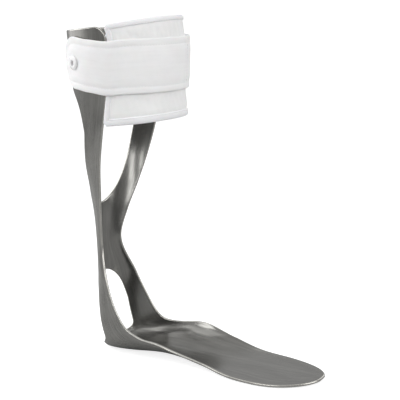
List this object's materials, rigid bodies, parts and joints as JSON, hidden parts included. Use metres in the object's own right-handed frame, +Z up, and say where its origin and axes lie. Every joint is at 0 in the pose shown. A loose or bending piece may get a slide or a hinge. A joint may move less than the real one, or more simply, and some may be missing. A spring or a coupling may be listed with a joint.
{
  "type": "ankle foot orthosis",
  "caption": "Right-foot orthosis: moulded shell from foot plate to calf band, open at heel and rear calf, with padded liner and riveted closing strap.",
  "frame": {"origin": "on the ground under the ankle, in the middle of the heel's seat on the sole", "axes": "+X to the toes, +Y medial (the inner side of a right foot), +Z up along the leg"},
  "size_m": [0.276, 0.1258, 0.3442],
  "materials": {
    "composite": "satin, silvery, fine lengthwise streaks",
    "foam_fabric": "soft loop fabric over foam",
    "lining": "brushed knit",
    "binding": "woven edge binding",
    "strap": "padded loop strap",
    "hook_tape": "hook tape",
    "white_rivet": "white enamel",
    "rivet_metal": "satin"
  },
  "bodies": {
    "brace": {"shell": "composite", "pad_back_panel": "foam_fabric", "pad_back_lining": "lining", "pad_back_hem_top": "binding", "pad_back_hem_bottom": "binding", "pad_back_hem_lateral": "binding", "pad_back_hem_medial": "binding", "pad_hook_medial": "hook_tape", "pad_hook_rear": "hook_tape", "pad_hook_lateral": "hook_tape", "strap_hook_patch": "hook_tape", "strap_root": "strap", "rivet_cap": "white_rivet", "rivet_post": "rivet_metal", "rivet_washer": "rivet_metal"},
    "flap": {"pad_front_panel": "foam_fabric", "pad_front_lining": "lining", "pad_front_hem_top": "binding", "pad_front_hem_bottom": "binding", "pad_front_hem_end": "binding"},
    "strap_outer": {"strap_side": "strap"},
    "strap_fore": {"strap_front": "strap"},
    "strap_end": {"strap_tip": "strap", "strap_hook_tab": "hook_tape"}
  },
  "joints": [
    {"name": "strap_swing", "type": "hinge", "parent": "brace", "child": "strap_outer", "pos_m": [-0.00876, -0.06071, 0.29696], "axis": [0.0236, 0.0379, -0.999], "range_deg": [0, 100]},
    {"name": "strap_unfold", "type": "hinge", "parent": "strap_outer", "child": "strap_fore", "pos_m": [0.03988, -0.03905, 0.29805], "axis": [-0.0068, 0.0244, -0.9997], "range_deg": [0, 80]},
    {"name": "tip_peel", "type": "hinge", "parent": "strap_fore", "child": "strap_end", "pos_m": [0.04311, 0.03485, 0.29812], "axis": [-0.0088, -0.0218, -0.9997], "range_deg": [0, 110]},
    {"name": "flap_open", "type": "hinge", "parent": "brace", "child": "flap", "pos_m": [0.00584, 0.05587, 0.29729], "axis": [-0.014, 0.0371, 0.9992], "range_deg": [0, 50]}
  ],
  "couplings": [
    {"joint": "strap_unfold", "follows": "strap_swing", "ratio": 0.8},
    {"joint": "flap_open", "follows": "strap_swing", "ratio": 0.5}
  ]
}
